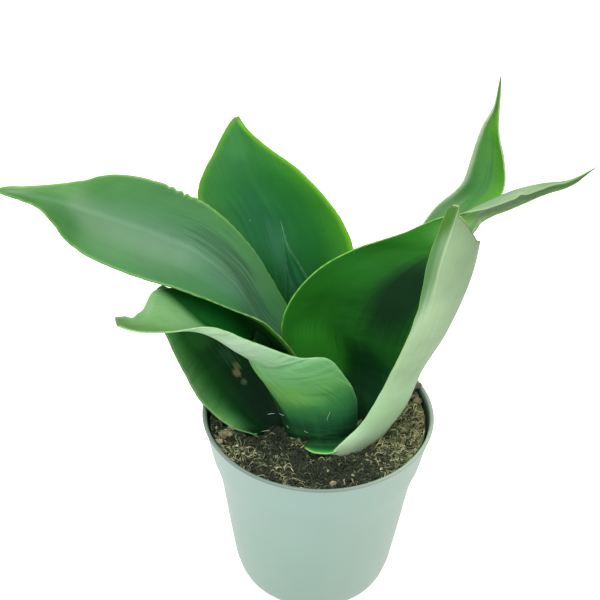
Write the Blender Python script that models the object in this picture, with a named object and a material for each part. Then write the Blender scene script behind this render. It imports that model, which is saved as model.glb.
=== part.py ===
"""Potted snake plant: a thin plastic nursery pot, its soil and eight leaves.

The script works in metres with +Z up. The tables below are in millimetres. The pot stands on
z = 0 with its axis on the Z axis, and the viewer of the photograph looks along +Y, so the long
left leaf points to -X.
"""
import math

import bmesh
import bpy
import numpy as np

MM = 0.001

# Driving sizes of the pot
RIM_DIAMETER = 120.0
POT_HEIGHT = 106.0
FOOT_DIAMETER = 83.0
WALL = 1.3
FLOOR = 1.8
COLLAR_BOTTOM = 84.5
SHOULDER_BOTTOM = 62.0
POT_SEGMENTS = 56
DRAIN_HOLE_DIAMETER = 8.0
DRAIN_CIRCLE_RADIUS = 27.0
DRAIN_HOLES = 6

# Driving sizes of the soil
GAP = 0.3
SOIL_LEVEL = 95.0
SOIL_EDGE_DROP = 3.0
# How far the soil is banked up against the wall, which it reaches at this distance from the middle
SOIL_BANK = 4.0
SOIL_REACH = 56.0
SOIL_RINGS = 9
SOIL_SEGMENTS = 44
CLUMP_X, CLUMP_Y, CLUMP_SPREAD, CLUMP_RISE = 49.0, 22.0, 7.0, 7.0

# Driving sizes of the leaves
THICK_AT_BASE = 2.6
THICK_AT_MIDDLE = 2.2
THICK_AT_TIP = 1.2
EDGE_THICK = 1.0
STEPS_ALONG = 20
STEPS_ACROSS = 8
# How far each point of the front right leaf's torn top edge lies below a straight cut
TORN_TOP = (0.0, 1.4, 0.4, 1.9, 0.8, 2.6, 1.1, 1.8, 0.0)

# Each leaf is a list of stations from its foot in the soil to its tip. A station is the left edge
# (x, y, z), the right edge (x, y, z), both as seen with the dark inner face towards the eye, and
# how deep the blade cups away from the eye between them.
BACK_LEAF = (
    ((-17, 34, 84), (11, 34, 84), 6),
    ((-24, 34, 100), (12, 34, 100), 7),
    ((-42, 37, 127), (12, 37, 130), 9),
    ((-53, 42, 159), (17, 42, 166), 10),
    ((-60, 48, 181), (10, 48, 188), 10),
    ((-66, 54, 203), (-13, 54, 215), 8),
    ((-57, 59, 224), (-33, 59, 228), 4),
    ((-51, 61, 236), (-42, 61, 236), 1.5),
    ((-48, 62, 240), (-45.5, 62, 241), 0.4),
)
SPEAR_LEAF = (
    ((-7, 26, 84), (2, 26, 84), 3.5),
    ((-8, 26, 110), (2, 26, 110), 4.5),
    ((-13, 29, 153), (-4, 29, 157), 5),
    ((-18, 31, 168), (-11.3, 31, 172), 3.4),
    ((-20.6, 32, 184), (-18.4, 32, 185), 1.1),
    ((-22.4, 34, 194), (-21.1, 34, 194), 0.5),
    ((-23, 34, 199), (-22.2, 34, 199), 0.2),
)
LEFT_LONG_LEAF = (
    ((-11, -3, 84), (-4, 15, 84), 7),
    ((-11, -3, 100), (-4, 17, 100), 8),
    ((-11, -4, 142), (-9, 18, 146), 11),
    ((-24, -3, 159), (-18, 23, 156), 12),
    ((-44, -1, 168), (-36, 29, 185), 10),
    ((-70, 5, 174), (-57, 34, 205), 9),
    ((-99, 12, 178.5), (-82, 42, 213), 8),
    ((-125, 20, 187), (-107, 47, 214), 6),
    ((-142, 30, 202), (-131, 50, 206.5), 4),
    ((-153.5, 40, 200.5), (-149, 50, 204), 2),
    ((-165, 46, 200), (-165.5, 49, 203), 0.8),
    ((-174, 50, 199.5), (-174, 51.3, 200.5), 0.3),
)
RIGHT_LONG_LEAF = (
    ((-5, 5, 84), (26, 0, 84), 8),
    ((-5, 5, 100), (29, -1, 100), 9),
    ((-10, 6, 125), (36, 4, 119), 12),
    ((-20, 4, 153), (41, 6, 138), 13),
    ((-16, 9, 168), (46, 8, 157), 13),
    ((-3, 15, 183), (52, 10, 172), 12),
    ((13, 21, 191), (56, 11, 187), 11),
    ((37, 26, 199), (61, 12, 201), 9),
    ((56, 28, 208), (68, 16, 204), 7),
    ((74, 23, 215), (75, 23, 209), 6),
    ((92, 22, 224), (93, 24, 219), 6),
    ((103, 24, 228), (104, 26, 224), 4),
    ((115, 27, 231), (116, 28, 228), 1.5),
    ((127, 28, 239), (127.6, 29.2, 238), 0.3),
)
FRONT_TWISTED_LEAF = (
    ((16.5, -8.5, 84), (-16, -8, 84), 5),
    ((20, -8.5, 98), (-17, -6, 98), 6),
    ((19, -9, 123), (-21, -2, 107), 8),
    ((13, -12, 138), (-28.7, 6.5, 119), 12),
    ((4, -16, 152), (-35.5, 15.5, 132), 16),
    ((-10, -20, 155), (-32, 28, 146), 18),
    ((-33, -23, 166), (-38, 27, 162), 18),
    ((-54, -24, 174), (-68, 16, 168), 10),
    ((-72.5, -22, 168.5), (-83.5, 7, 172), 5),
    ((-89, -18, 165), (-89.5, -5, 167), 2),
    ((-98.5, -15, 165.5), (-99.5, -13, 169.5), 0.5),
)
FRONT_LEFT_LEAF = (
    ((-25, -10, 84), (-17, -3, 84), 2),
    ((-32, -12, 96), (-17, -1, 96), 3),
    ((-44, -10, 99), (-22, 7, 105), 5),
    ((-59.5, -3, 108.5), (-30, 16, 116), 7),
    ((-70.5, 5, 124), (-42, 24, 129), 7),
    ((-77.5, 12, 135), (-57, 28, 141), 5),
    ((-83, 19, 145), (-72, 29, 154), 3),
    ((-85, 25, 160), (-82, 26, 162), 0.5),
)
FRONT_RIGHT_LEAF = (
    ((36, 6, 84), (4, -20, 84), 5.5),
    ((39, 6, 96), (7, -23, 96), 6),
    ((45, 2, 121), (22, -20, 116), 7.5),
    ((50.5, -2, 141), (35, -19, 150), 5.5),
    ((59.5, -5.5, 165), (44, -19, 184), 7),
    ((66, -9, 186), (47, -19, 215), 7),
    ((69, -12, 205), (50, -19, 229), 6),
    ((70, -14, 222), (53, -19, 241), 5),
)
BACK_RIGHT_LEAF = (
    ((16, 30, 84), (33, 20, 84), 5),
    ((16, 31, 100), (35, 20, 100), 6),
    ((22, 37, 131), (41, 30, 143), 8),
    ((40, 44, 170), (58, 37, 180), 9),
    ((55, 49, 201), (79, 42, 201), 9),
    ((67, 51, 214), (87, 45, 214), 9),
    ((71, 52, 232), (86, 47, 228), 7),
    ((74, 52, 246), (82, 49, 243), 3.5),
    ((78, 52, 256), (81, 51, 254), 1),
    ((79, 52, 273), (80.6, 52, 273), 0.3),
)
LEAVES = {
    "leaf_back": BACK_LEAF,
    "leaf_spear": SPEAR_LEAF,
    "leaf_left_long": LEFT_LONG_LEAF,
    "leaf_right_long": RIGHT_LONG_LEAF,
    "leaf_front_twisted": FRONT_TWISTED_LEAF,
    "leaf_front_left": FRONT_LEFT_LEAF,
    "leaf_front_right": FRONT_RIGHT_LEAF,
    "leaf_back_right": BACK_RIGHT_LEAF,
}


def clear_scene():
    for thing in list(bpy.data.objects):
        bpy.data.objects.remove(thing, do_unlink=True)


def material(name, colour, roughness):
    made = bpy.data.materials.new(name)
    made.use_nodes = True
    shader = made.node_tree.nodes["Principled BSDF"]
    shader.inputs["Base Color"].default_value = (*colour, 1.0)
    shader.inputs["Roughness"].default_value = roughness
    shader.inputs["Metallic"].default_value = 0.0
    made.diffuse_color = (*colour, 1.0)
    return made


def finish_object(name, mesh_maker, surface):
    """Turn a filled bmesh into a named, smooth-shaded object with one material."""
    bmesh.ops.recalc_face_normals(mesh_maker, faces=mesh_maker.faces)
    for face in mesh_maker.faces:
        face.smooth = True
    mesh = bpy.data.meshes.new(name)
    mesh_maker.to_mesh(mesh)
    mesh_maker.free()
    mesh.materials.append(surface)
    made = bpy.data.objects.new(name, mesh)
    bpy.context.scene.collection.objects.link(made)
    return made


def cutter(target, tool):
    """Cut tool out of target and keep the tool hidden."""
    tool.hide_render = True
    tool.display_type = "WIRE"
    cut = target.modifiers.new(tool.name, "BOOLEAN")
    cut.operation = "DIFFERENCE"
    cut.solver = "EXACT"
    cut.object = tool


def lathe(profile, segments):
    """Turn a profile that starts and ends on the axis into a closed solid."""
    shape = bmesh.new()
    rings = []
    for radius, height in profile:
        if radius == 0.0:
            rings.append([shape.verts.new((0.0, 0.0, height * MM))])
            continue
        ring = []
        for step in range(segments):
            angle = 2.0 * math.pi * step / segments
            x, y = radius * math.cos(angle), radius * math.sin(angle)
            ring.append(shape.verts.new((x * MM, y * MM, height * MM)))
        rings.append(ring)
    join_rings(shape, rings)
    return shape


def join_rings(shape, rings):
    for lower, upper in zip(rings, rings[1:]):
        count = max(len(lower), len(upper))
        for step in range(count):
            following = (step + 1) % count
            if len(lower) == 1:
                shape.faces.new((lower[0], upper[following], upper[step]))
            elif len(upper) == 1:
                shape.faces.new((lower[step], lower[following], upper[0]))
            else:
                shape.faces.new((lower[step], lower[following], upper[following], upper[step]))


def outer_profile():
    """Outside of the pot from the foot's edge to just below the lip."""
    foot = FOOT_DIAMETER / 2
    rim = RIM_DIAMETER / 2
    return [
        (foot - 2.6, 0.0),
        (foot - 0.8, 0.8),
        (foot, 2.6),
        (foot + 2.0, 10.0),
        (foot + 4.8, 30.0),
        (foot + 8.9, SHOULDER_BOTTOM),
        (foot + 10.1, SHOULDER_BOTTOM + 7.0),
        (foot + 12.1, SHOULDER_BOTTOM + 15.0),
        (foot + 13.7, SHOULDER_BOTTOM + 20.0),
        (foot + 14.2, COLLAR_BOTTOM),
        (rim - 2.5, 95.0),
        (rim - 1.2, POT_HEIGHT - 3.2),
    ]


def inner_profile():
    """Inside of the wall from the floor to the lip, a wall's thickness in from the outside."""
    inside = [(radius - WALL, height) for radius, height in outer_profile()[3:]]
    foot = FOOT_DIAMETER / 2
    return [(foot - 3.0, FLOOR), (foot - 1.2, FLOOR + 1.6)] + inside


def wall_radius(height):
    """Radius of the inside of the wall at a height."""
    radii, heights = zip(*inner_profile())
    return float(np.interp(height, heights, radii))


def pot():
    rim = RIM_DIAMETER / 2
    lip = [
        (rim - 0.3, POT_HEIGHT - 2.6),
        (rim, POT_HEIGHT - 1.3),
        (rim - 0.5, POT_HEIGHT - 0.2),
        (rim - 1.2, POT_HEIGHT),
        (rim - 2.1, POT_HEIGHT - 0.6),
    ]
    profile = [(0.0, 0.0)] + outer_profile() + lip + inner_profile()[::-1] + [(0.0, FLOOR)]
    surface = material("pale_green_pot_plastic", (0.42, 0.56, 0.52), 0.38)
    body = finish_object("pot", lathe(profile, POT_SEGMENTS), surface)
    cutter(body, drain_holes())
    return body


def drain_holes():
    shape = bmesh.new()
    for step in range(DRAIN_HOLES):
        angle = 2.0 * math.pi * step / DRAIN_HOLES
        made = bmesh.ops.create_cone(
            shape,
            cap_ends=True,
            segments=16,
            radius1=DRAIN_HOLE_DIAMETER / 2 * MM,
            radius2=DRAIN_HOLE_DIAMETER / 2 * MM,
            depth=4.0 * FLOOR * MM,
        )
        centre = (DRAIN_CIRCLE_RADIUS * MM * math.cos(angle), DRAIN_CIRCLE_RADIUS * MM * math.sin(angle), 0.0)
        bmesh.ops.translate(shape, vec=centre, verts=made["verts"])
    return finish_object("drain_hole_cutter", shape, material("cutter", (0.8, 0.2, 0.2), 0.5))


def soil_height(x, y):
    """Uneven top of the soil in millimetres, with the clump that stands against the rim."""
    swell = 0.9 * math.sin(0.11 * x + 0.6) * math.cos(0.09 * y - 0.4)
    lumps = 0.8 * math.sin(0.31 * x - 0.23 * y) + 0.7 * math.cos(0.37 * y + 0.19 * x)
    distance = math.hypot(x - CLUMP_X, y - CLUMP_Y)
    clump = CLUMP_RISE * math.exp(-((distance / CLUMP_SPREAD) ** 2))
    bank = SOIL_BANK * (math.hypot(x, y) / SOIL_REACH) ** 4
    return SOIL_LEVEL + swell + lumps + clump + bank


def soil():
    edge_level = SOIL_LEVEL + SOIL_BANK - SOIL_EDGE_DROP
    side = [(radius - GAP, height) for radius, height in inner_profile() if height < edge_level]
    side[0] = (side[0][0], FLOOR + GAP)
    top_radius = wall_radius(edge_level) - GAP
    shape = bmesh.new()
    rings = [[shape.verts.new((0.0, 0.0, (FLOOR + GAP) * MM))]]
    angles = [2.0 * math.pi * step / SOIL_SEGMENTS for step in range(SOIL_SEGMENTS)]
    for radius, height in side:
        rings.append([shape.verts.new((radius * MM * math.cos(a), radius * MM * math.sin(a), height * MM))
                      for a in angles])
    for step in range(SOIL_RINGS):
        radius = top_radius * (1.0 - step / SOIL_RINGS)
        ring = []
        for a in angles:
            x, y = radius * math.cos(a), radius * math.sin(a)
            ring.append(shape.verts.new((x * MM, y * MM, soil_height(x, y) * MM)))
        rings.append(ring)
    rings.append([shape.verts.new((0.0, 0.0, soil_height(0.0, 0.0) * MM))])
    join_rings(shape, rings)
    body = finish_object("soil", shape, material("dark_potting_soil", (0.05, 0.035, 0.022), 0.95))
    for name, stations in LEAVES.items():
        foot = blade_mesh(stations[:4], grow=GAP, steps=8)
        cutter(body, finish_object(name + "_socket", foot, material("cutter", (0.8, 0.2, 0.2), 0.5)))
    return body


def smooth_rows(stations, steps):
    """Even steps along a smooth curve through the stations' two edges and cup depth."""
    rows = np.array([(*left, *right, cup) for left, right, cup in stations], dtype=float)
    reach = np.concatenate([[0.0], np.cumsum(np.linalg.norm(np.diff(rows[:, :6], axis=0), axis=1))])
    slopes = np.zeros_like(rows)
    pieces = np.diff(rows, axis=0) / np.diff(reach)[:, None]
    slopes[0], slopes[-1] = pieces[0], pieces[-1]
    before, after = np.diff(reach)[:-1, None], np.diff(reach)[1:, None]
    slopes[1:-1] = (pieces[:-1] * after + pieces[1:] * before) / (before + after)
    made = []
    for place in np.linspace(0.0, reach[-1], steps + 1):
        k = min(max(int(np.searchsorted(reach, place, side="right")) - 1, 0), len(rows) - 2)
        span = reach[k + 1] - reach[k]
        f = (place - reach[k]) / span
        made.append(
            (2 * f**3 - 3 * f**2 + 1) * rows[k]
            + (f**3 - 2 * f**2 + f) * span * slopes[k]
            + (3 * f**2 - 2 * f**3) * rows[k + 1]
            + (f**3 - f**2) * span * slopes[k + 1]
        )
    return np.array(made)


def across(row, along, grow):
    """Points of the blade's middle surface from the left edge to the right on a circular arc."""
    left, right, depth = row[:3], row[3:6], row[6]
    chord = right - left
    width = np.linalg.norm(chord)
    side = chord / width
    outward = np.cross(along, side)
    outward /= np.linalg.norm(outward)
    radius = (width * width / 4 + depth * depth) / (2 * depth)
    half_angle = math.asin(min(1.0, width / 2 / radius))
    if depth > width / 2:
        half_angle = math.pi - half_angle
    half_angle += grow / radius
    points = []
    for f in np.linspace(-1.0, 1.0, STEPS_ACROSS + 1):
        angle = f * half_angle
        middle = (left + right) / 2
        bulge = radius * math.cos(angle) - (radius - depth)
        points.append(middle + side * radius * math.sin(angle) + outward * bulge)
    return points


def blade_surface(stations, steps, grow, torn=None):
    rows = smooth_rows(stations, steps)
    middles = (rows[:, :3] + rows[:, 3:6]) / 2
    along = np.gradient(middles, axis=0)
    along /= np.linalg.norm(along, axis=1)[:, None]
    surface = np.array([across(row, direction, grow) for row, direction in zip(rows, along)])
    surface[0] -= along[0] * grow
    if torn:
        surface[-1] -= along[-1] * np.array(torn)[:, None]
    return surface


def blade_mesh(stations, grow=0.0, steps=STEPS_ALONG, torn=None):
    """Closed blade: both faces, two thin edges and two ends, split into triangles alike."""
    surface = blade_surface(stations, steps, grow, torn)
    lengthwise = np.gradient(surface, axis=0)
    crosswise = np.gradient(surface, axis=1)
    outward = np.cross(lengthwise, crosswise)
    outward /= np.linalg.norm(outward, axis=2)[:, :, None]
    progress = np.linspace(0.0, 1.0, steps + 1)
    if grow:
        progress = progress * 0.3
    middle_thick = np.interp(progress, (0.0, 0.45, 1.0), (THICK_AT_BASE, THICK_AT_MIDDLE, THICK_AT_TIP))
    place = np.abs(np.linspace(-1.0, 1.0, STEPS_ACROSS + 1))
    thick = EDGE_THICK + (middle_thick[:, None] - EDGE_THICK) * (1.0 - place[None, :] ** 2.4) + 2.0 * grow
    inner = surface - outward * thick[:, :, None] / 2
    outer = surface + outward * thick[:, :, None] / 2
    shape = bmesh.new()
    faces = [[[shape.verts.new(point * MM) for point in row] for row in skin] for skin in (inner, outer)]
    for skin in faces:
        for low, high in zip(skin, skin[1:]):
            for k in range(STEPS_ACROSS):
                shape.faces.new((low[k], low[k + 1], high[k + 1]))
                shape.faces.new((low[k], high[k + 1], high[k]))
    front, back = faces
    for k in (0, STEPS_ACROSS):
        for i in range(steps):
            shape.faces.new((front[i][k], front[i + 1][k], back[i + 1][k]))
            shape.faces.new((front[i][k], back[i + 1][k], back[i][k]))
    for i in (0, steps):
        for k in range(STEPS_ACROSS):
            shape.faces.new((front[i][k], front[i][k + 1], back[i][k + 1]))
            shape.faces.new((front[i][k], back[i][k + 1], back[i][k]))
    return shape


def leaf(name, stations):
    surface = material(name + "_green", (0.045, 0.16, 0.055), 0.36)
    torn = TORN_TOP if name == "leaf_front_right" else None
    return finish_object(name, blade_mesh(stations, torn=torn), surface)


clear_scene()
pot()
soil()
for leaf_name, leaf_stations in LEAVES.items():
    leaf(leaf_name, leaf_stations)
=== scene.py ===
# %% [markdown]
# # A potted snake plant
# A young Sansevieria in a thin nursery pot: eight thick, cupped leaves stand in coarse soil.
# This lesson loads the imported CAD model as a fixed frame, then lays finer leaves, pot and soil over
# it. Leaves are mostly about their edge lines and how deep they cup, so each leaf is a table of
# edge points, turned into a fine grid. The tables are in millimetres and Blender works in metres.

# %% Load the frame
import math
import random

import bmesh
import bpy
import numpy as np
from mathutils import Euler, Matrix, Vector, kdtree, noise


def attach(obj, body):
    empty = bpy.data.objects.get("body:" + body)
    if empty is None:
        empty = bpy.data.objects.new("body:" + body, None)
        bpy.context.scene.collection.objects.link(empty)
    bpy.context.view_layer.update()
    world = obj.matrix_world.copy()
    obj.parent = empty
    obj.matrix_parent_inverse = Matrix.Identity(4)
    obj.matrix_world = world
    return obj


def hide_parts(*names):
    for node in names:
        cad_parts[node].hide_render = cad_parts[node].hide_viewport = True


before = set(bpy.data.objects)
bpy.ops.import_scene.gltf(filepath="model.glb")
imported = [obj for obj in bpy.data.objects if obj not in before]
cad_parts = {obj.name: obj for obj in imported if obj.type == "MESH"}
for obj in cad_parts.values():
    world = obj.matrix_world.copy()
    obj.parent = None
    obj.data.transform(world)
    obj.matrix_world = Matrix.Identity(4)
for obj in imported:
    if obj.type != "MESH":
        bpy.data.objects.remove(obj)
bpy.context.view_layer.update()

MM = 0.001
print("CAD nodes:", sorted(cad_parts))

# %% [markdown]
# ## Objects and meshes
# Four small functions do what many steps below need: put an object in the scene, turn a bmesh into
# a smooth mesh, take the final mesh of an object, and make an object a piece of the part.


# %% Helpers for objects
def new_object(name, data):
    made = bpy.data.objects.new(name, data)
    bpy.context.scene.collection.objects.link(made)
    return made


def finished_mesh(name, shape):
    for face in shape.faces:
        face.smooth = True
    mesh = bpy.data.meshes.new(name)
    shape.to_mesh(mesh)
    shape.free()
    return mesh


def settled_mesh(name, made):
    """The final mesh of an object, worked out once, and the object removed."""
    mesh = bpy.data.meshes.new_from_object(made.evaluated_get(bpy.context.evaluated_depsgraph_get()))
    mesh.name = name
    bpy.data.objects.remove(made, do_unlink=True)
    return mesh


def dress(piece, node):
    """Make an object a piece that takes the place of one CAD node."""
    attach(piece, "root")
    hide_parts(node)


# %% [markdown]
# ## Camera
# The picture is taken from a little over half a metre away, looking down at about 35 degrees. A
# camera could be aimed with a constraint, but the small roll of a hand-held picture is easier to
# write as three axes: where the camera looks, its right side and its up side.

# %% Camera
CAMERA_PLACE = Vector((0.0, -0.475, 0.512))
PITCH = math.radians(35.36)
YAW = math.radians(-1.33)
ROLL = math.radians(1.6)
LENS_MM = 72.0
SENSOR_MM = 36.0


def make_camera():
    look = Vector((math.sin(YAW) * math.cos(PITCH), math.cos(YAW) * math.cos(PITCH), -math.sin(PITCH)))
    level_right = look.cross(Vector((0.0, 0.0, 1.0))).normalized()
    level_up = level_right.cross(look)
    right = math.cos(ROLL) * level_right + math.sin(ROLL) * level_up
    up = math.cos(ROLL) * level_up - math.sin(ROLL) * level_right
    turn = Matrix((right, up, -look)).transposed().to_4x4()
    data = bpy.data.cameras.new("camera")
    data.lens = LENS_MM
    data.sensor_width = SENSOR_MM
    data.clip_start = 0.01
    camera = new_object("camera", data)
    camera.matrix_world = Matrix.Translation(CAMERA_PLACE) @ turn
    bpy.context.scene.camera = camera


make_camera()

# %% [markdown]
# ## Colour and nodes
# Colours are written as the sRGB hex values that a paint program shows. Blender's sockets want
# linear light, so one function turns them over. One more function adds a node with its settings,
# values and links, and every material below is built with it. In a Mix node of colours, input 0 is
# the share, 6 is the colour below and 7 is the colour laid over it.


# %% Helpers for materials
def srgb(code, alpha=1.0):
    """Linear RGBA from a hex colour."""
    shares = [int(code[i:i + 2], 16) / 255 for i in (1, 3, 5)]
    return tuple(c / 12.92 if c <= 0.04045 else ((c + 0.055) / 1.055) ** 2.4 for c in shares) + (alpha,)


def fill(owner, node, inputs):
    """Set a node's inputs, in their order or by name: to values, hex colours, nodes or their outputs."""
    pairs = inputs.items() if isinstance(inputs, dict) else enumerate(inputs)
    for place, value in pairs:
        if isinstance(value, bpy.types.Node):
            value = next(output for output in value.outputs if output.enabled)
        if isinstance(value, bpy.types.NodeSocket):
            owner.node_tree.links.new(value, node.inputs[place])
        else:
            node.inputs[place].default_value = srgb(value) if isinstance(value, str) else value


def add(material, kind, inputs=(), stops=(), **settings):
    """Add a node. stops fill a colour ramp: a place, a hex colour and, if not 1, an alpha."""
    made = material.node_tree.nodes.new("ShaderNode" + kind)
    for name, value in settings.items():
        setattr(made, name, value)
    fill(material, made, inputs)
    for number, (place, *colour) in enumerate(stops):
        ramp = made.color_ramp.elements
        point = ramp[number] if number < 2 else ramp.new(place)
        point.position = place
        point.color = srgb(*colour)
    return made


def new_material(name):
    made = bpy.data.materials.new(name)
    made.use_nodes = True
    return made


def shade(material, inputs):
    """Set the inputs of a material's shader and give the material back."""
    fill(material, material.node_tree.nodes["Principled BSDF"], inputs)
    return material


def toned(material, colour, tone):
    """A colour made lighter or darker: each of its channels times the tone."""
    grey = add(material, "CombineColor", (tone, tone, tone))
    return add(material, "Mix", {0: 1.0, 6: colour, 7: grey}, data_type="RGBA", blend_type="MULTIPLY")


# %% [markdown]
# ## Light and floor
# The photograph is high-key: white paper below, white light from all round, and no shadow that the
# film still holds. A white world gives the even light, a large soft lamp above gives the leaves
# their direction, and the paper sends light back up and glows a little so that it stays white.

# %% Light and floor
PAPER_SIZE = 6.0
WORLD_STRENGTH = 0.85
LAMP_PLACE = Vector((-0.25, -0.30, 1.15))
LAMP_AIM = Vector((0.0, 0.0, 0.12))
LAMP_SIZE = 0.9
LAMP_POWER = 9.0


def make_world():
    world = bpy.data.worlds.new("white_studio")
    world.use_nodes = True
    fill(world, world.node_tree.nodes["Background"], {"Color": "#FFFFFF", "Strength": WORLD_STRENGTH})
    bpy.context.scene.world = world


def make_lamp():
    data = bpy.data.lights.new("soft_key", "AREA")
    data.shape = "DISK"
    data.size = LAMP_SIZE
    data.energy = LAMP_POWER
    data.color = srgb("#FFFDF6")[:3]
    lamp = new_object("soft_key", data)
    turn = (LAMP_AIM - LAMP_PLACE).to_track_quat("-Z", "Y").to_matrix().to_4x4()
    lamp.matrix_world = Matrix.Translation(LAMP_PLACE) @ turn


def make_paper():
    shape = bmesh.new()
    bmesh.ops.create_grid(shape, x_segments=1, y_segments=1, size=PAPER_SIZE / 2)
    paper = new_object("paper", finished_mesh("paper", shape))
    paper.data.materials.append(shade(new_material("matte_white_paper"), {
        "Base Color": "#F2F4F1", "Roughness": 0.9, "Specular IOR Level": 0.2,
        "Emission Color": "#FCFDFA", "Emission Strength": 0.8}))
    paper.visible_diffuse = False
    paper.visible_glossy = False


make_world()
make_lamp()
make_paper()
bpy.context.scene.view_settings.view_transform = "Standard"
bpy.context.scene.cycles.use_denoising = True

# %% [markdown]
# ## Leaf forms
# A snake plant leaf is one stiff, fleshy blade with no stalk, about 2 mm thick in the middle and
# thin at its margins, that cups and twists as it grows. A sculpted mesh would be hard to keep true
# to the CAD, so each leaf repeats the table that made its solid. A station is the left edge and
# the right edge, both as seen with the dark inner face towards the eye, and how deep the blade
# cups between them.

# %% Leaf tables
BACK_LEAF = (
    ((-17, 34, 84), (11, 34, 84), 6), ((-24, 34, 100), (12, 34, 100), 7),
    ((-42, 37, 127), (12, 37, 130), 9), ((-53, 42, 159), (17, 42, 166), 10),
    ((-60, 48, 181), (10, 48, 188), 10), ((-66, 54, 203), (-13, 54, 215), 8),
    ((-57, 59, 224), (-33, 59, 228), 4), ((-51, 61, 236), (-42, 61, 236), 1.5),
    ((-48, 62, 240), (-45.5, 62, 241), 0.4),
)
SPEAR_LEAF = (
    ((-7, 26, 84), (2, 26, 84), 3.5), ((-8, 26, 110), (2, 26, 110), 4.5),
    ((-13, 29, 153), (-4, 29, 157), 5), ((-18, 31, 168), (-11.3, 31, 172), 3.4),
    ((-20.6, 32, 184), (-18.4, 32, 185), 1.1), ((-22.4, 34, 194), (-21.1, 34, 194), 0.5),
    ((-23, 34, 199), (-22.2, 34, 199), 0.2),
)
LEFT_LONG_LEAF = (
    ((-11, -3, 84), (-4, 15, 84), 7), ((-11, -3, 100), (-4, 17, 100), 8),
    ((-11, -4, 142), (-9, 18, 146), 11), ((-24, -3, 159), (-18, 23, 156), 12),
    ((-44, -1, 168), (-36, 29, 185), 10), ((-70, 5, 174), (-57, 34, 205), 9),
    ((-99, 12, 178.5), (-82, 42, 213), 8), ((-125, 20, 187), (-107, 47, 214), 6),
    ((-142, 30, 202), (-131, 50, 206.5), 4), ((-153.5, 40, 200.5), (-149, 50, 204), 2),
    ((-165, 46, 200), (-165.5, 49, 203), 0.8), ((-174, 50, 199.5), (-174, 51.3, 200.5), 0.3),
)
RIGHT_LONG_LEAF = (
    ((-5, 5, 84), (26, 0, 84), 8), ((-5, 5, 100), (29, -1, 100), 9), ((-10, 6, 125), (36, 4, 119), 12),
    ((-20, 4, 153), (41, 6, 138), 13), ((-16, 9, 168), (46, 8, 157), 13),
    ((-3, 15, 183), (52, 10, 172), 12), ((13, 21, 191), (56, 11, 187), 11),
    ((37, 26, 199), (61, 12, 201), 9), ((56, 28, 208), (68, 16, 204), 7),
    ((74, 23, 215), (75, 23, 209), 6), ((92, 22, 224), (93, 24, 219), 6),
    ((103, 24, 228), (104, 26, 224), 4), ((115, 27, 231), (116, 28, 228), 1.5),
    ((127, 28, 239), (127.6, 29.2, 238), 0.3),
)
FRONT_TWISTED_LEAF = (
    ((16.5, -8.5, 84), (-16, -8, 84), 5), ((20, -8.5, 98), (-17, -6, 98), 6),
    ((19, -9, 123), (-21, -2, 107), 8), ((13, -12, 138), (-28.7, 6.5, 119), 12),
    ((4, -16, 152), (-35.5, 15.5, 132), 16), ((-10, -20, 155), (-32, 28, 146), 18),
    ((-33, -23, 166), (-38, 27, 162), 18), ((-54, -24, 174), (-68, 16, 168), 10),
    ((-72.5, -22, 168.5), (-83.5, 7, 172), 5), ((-89, -18, 165), (-89.5, -5, 167), 2),
    ((-98.5, -15, 165.5), (-99.5, -13, 169.5), 0.5),
)
FRONT_LEFT_LEAF = (
    ((-25, -10, 84), (-17, -3, 84), 2), ((-32, -12, 96), (-17, -1, 96), 3),
    ((-44, -10, 99), (-22, 7, 105), 5), ((-59.5, -3, 108.5), (-30, 16, 116), 7),
    ((-70.5, 5, 124), (-42, 24, 129), 7), ((-77.5, 12, 135), (-57, 28, 141), 5),
    ((-83, 19, 145), (-72, 29, 154), 3), ((-85, 25, 160), (-82, 26, 162), 0.5),
)
FRONT_RIGHT_LEAF = (
    ((36, 6, 84), (4, -20, 84), 5.5), ((39, 6, 96), (7, -23, 96), 6),
    ((45, 2, 121), (22, -20, 116), 7.5), ((50.5, -2, 141), (35, -19, 150), 5.5),
    ((59.5, -5.5, 165), (44, -19, 184), 7), ((66, -9, 186), (47, -19, 215), 7),
    ((69, -12, 205), (50, -19, 229), 6), ((70, -14, 222), (53, -19, 241), 5),
)
BACK_RIGHT_LEAF = (
    ((16, 30, 84), (33, 20, 84), 5), ((16, 31, 100), (35, 20, 100), 6),
    ((22, 37, 131), (41, 30, 143), 8), ((40, 44, 170), (58, 37, 180), 9),
    ((55, 49, 201), (79, 42, 201), 9), ((67, 51, 214), (87, 45, 214), 9),
    ((71, 52, 232), (86, 47, 228), 7), ((74, 52, 246), (82, 49, 243), 3.5),
    ((78, 52, 256), (81, 51, 254), 1), ((79, 52, 273), (80.6, 52, 273), 0.3),
)

# %% [markdown]
# A table becomes a surface in two steps. A smooth curve runs through the stations, and between the
# two edges of each row the blade is an arc of a circle. Wounds in the margin, such as nicks and the
# torn top, are cut into the same surface by shortening its rows and columns.

# %% From a table to a surface
GRID_STEP = 1.1
# Every margin falls short of the table's edge by this much, more or less by waves 6 mm long
MARGIN_LOSS = 0.25
MARGIN_WAVE = 0.3
MARGIN_WAVE_LENGTH = 6.0
# Nicks and waves get shallower where the blade is narrower than this
NARROW_WIDTH = 12.0
# These blades end in a point, drawn in over the last share of their length
SHARP_TIPS = ("leaf_back_right", "leaf_right_long", "leaf_left_long", "leaf_spear")
SHARP_SHARE = 0.05
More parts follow.
